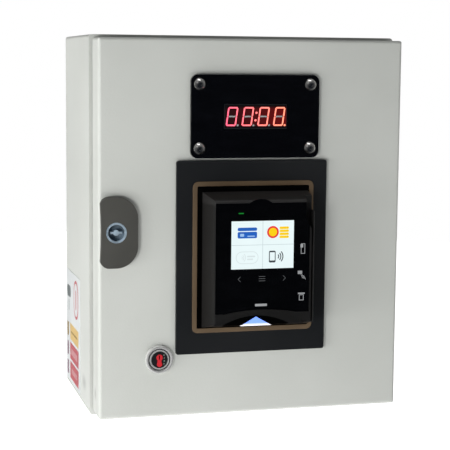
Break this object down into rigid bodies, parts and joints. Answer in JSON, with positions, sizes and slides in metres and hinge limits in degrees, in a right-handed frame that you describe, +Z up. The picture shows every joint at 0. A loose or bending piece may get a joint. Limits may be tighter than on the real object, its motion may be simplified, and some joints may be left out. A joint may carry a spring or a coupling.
{
  "type": "parking pay station",
  "caption": "Wall-mounted sheet-steel parking pay station with a hinged door, clock window, framed card reader, quarter-turn lock and key switch.",
  "frame": {"origin": "centre of the rear face that lies on the wall", "axes": "+Y into the wall, +Z up, +X to the right as seen from the front; the door faces -Y"},
  "size_m": [0.2502, 0.1765, 0.322],
  "materials": {
    "powder_coat": "fine textured powder coat",
    "zinc_steel": "zinc plated",
    "galvanised_sheet": "galvanised sheet",
    "stainless_steel": "satin stainless",
    "lock_alloy": "bright zinc die casting",
    "bright_chrome": "polished chrome",
    "brass": "turned",
    "bezel_black": "satin black powder coat",
    "reader_plastic": "fine moulded grain",
    "lock_plastic": "moulded grain",
    "clock_acrylic": "polished, edges flame finished",
    "reader_glass": "hardened cover lens, black printed back",
    "seal_brown": "matt sponge rubber",
    "foam_gasket": "foamed in place",
    "gland_plastic": "moulded polyamide",
    "gland_rubber": "smooth",
    "label_film": "printed film",
    "device_grey": "moulded",
    "device_white": "moulded",
    "device_dark": "moulded",
    "terminal_green": "moulded",
    "terminal_grey": "moulded polyamide",
    "end_stop_beige": "moulded polyamide",
    "toggle_blue": "moulded",
    "circuit_board": "solder mask over fibreglass",
    "led_digits": "lit seven-segment digits",
    "lcd_panel": "backlit display",
    "slot_lens": "lit light guide",
    "key_face_black": "moulded",
    "keyway_red": "moulded",
    "cable_sheath": "smooth sheath",
    "earth_sheath": "green and yellow sheath",
    "wire_sheath": "thin coloured sheaths",
    "head_metal": "lapped"
  },
  "bodies": {
    "enclosure": {"enclosure_body": "powder_coat", "gland_plate_seal": "gland_rubber", "gland_plate": "galvanised_sheet", "gland_plate_screws": "zinc_steel", "gland_bodies": "gland_plastic", "gland_caps": "gland_plastic", "gland_seals": "gland_rubber", "gland_locknuts": "gland_plastic", "side_label": "label_film", "mounting_studs": "zinc_steel", "mounting_plate": "galvanised_sheet", "mounting_nuts": "zinc_steel", "din_rail": "zinc_steel", "rail_screws": "zinc_steel", "power_supply_case": "device_grey", "power_supply_terminals": "terminal_green", "circuit_breaker": "device_white", "controller_base": "device_dark", "controller_cover": "device_white", "terminal_blocks": "terminal_grey", "end_stops": "end_stop_beige", "earth_stud": "brass", "latch_keeper": "zinc_steel", "hinge_body_leaves": "zinc_steel", "hinge_pins": "stainless_steel", "door_loom": "cable_sheath", "earth_strap": "earth_sheath", "internal_wiring": "wire_sheath"},
    "door": {"hinge_door_leaves": "zinc_steel", "door": "powder_coat", "door_gasket": "foam_gasket", "lock_escutcheon": "lock_plastic", "lock_housing": "lock_alloy", "lock_retainer": "zinc_steel", "key_switch_bezel": "bright_chrome", "key_switch_contacts": "device_dark", "panel_nuts": "zinc_steel", "door_wiring": "wire_sheath", "clock_window": "clock_acrylic", "clock_screws": "stainless_steel", "clock_led_module": "led_digits", "clock_board": "circuit_board", "clock_standoffs": "brass", "reader_bezel_plate": "bezel_black", "reader_seal": "seal_brown", "reader_frame": "reader_plastic", "reader_glass": "reader_glass", "reader_screen": "lcd_panel", "reader_main_board": "circuit_board", "reader_card_slot": "device_dark", "reader_slot_lens": "slot_lens", "reader_swipe_head": "head_metal", "reader_rear_tub": "reader_plastic", "reader_studs": "stainless_steel"},
    "latch": {"lock_insert": "lock_alloy", "lock_cam": "zinc_steel", "lock_cam_nut": "zinc_steel"},
    "key": {"key_barrel": "key_face_black", "keyway_insert": "keyway_red"},
    "toggle": {"breaker_toggle": "toggle_blue"}
  },
  "joints": [
    {"name": "door_hinge", "type": "hinge", "parent": "enclosure", "child": "door", "pos_m": [0.117, -0.1405, 0], "axis": [0, 0, 1], "range_deg": [0, 110], "deforming": ["door_loom", "earth_strap"]},
    {"name": "latch_turn", "type": "hinge", "parent": "door", "child": "latch", "pos_m": [-0.1093, -0.15, -0.0008], "axis": [0, 1, 0], "range_deg": [0, 90]},
    {"name": "key_turn", "type": "hinge", "parent": "door", "child": "key", "pos_m": [-0.075, -0.15, -0.1013], "axis": [0, 1, 0], "range_deg": [0, 90]},
    {"name": "breaker_throw", "type": "hinge", "parent": "enclosure", "child": "toggle", "pos_m": [-0.02, -0.0755, 0.028], "axis": [1, 0, 0], "range_deg": [0, 60]}
  ]
}
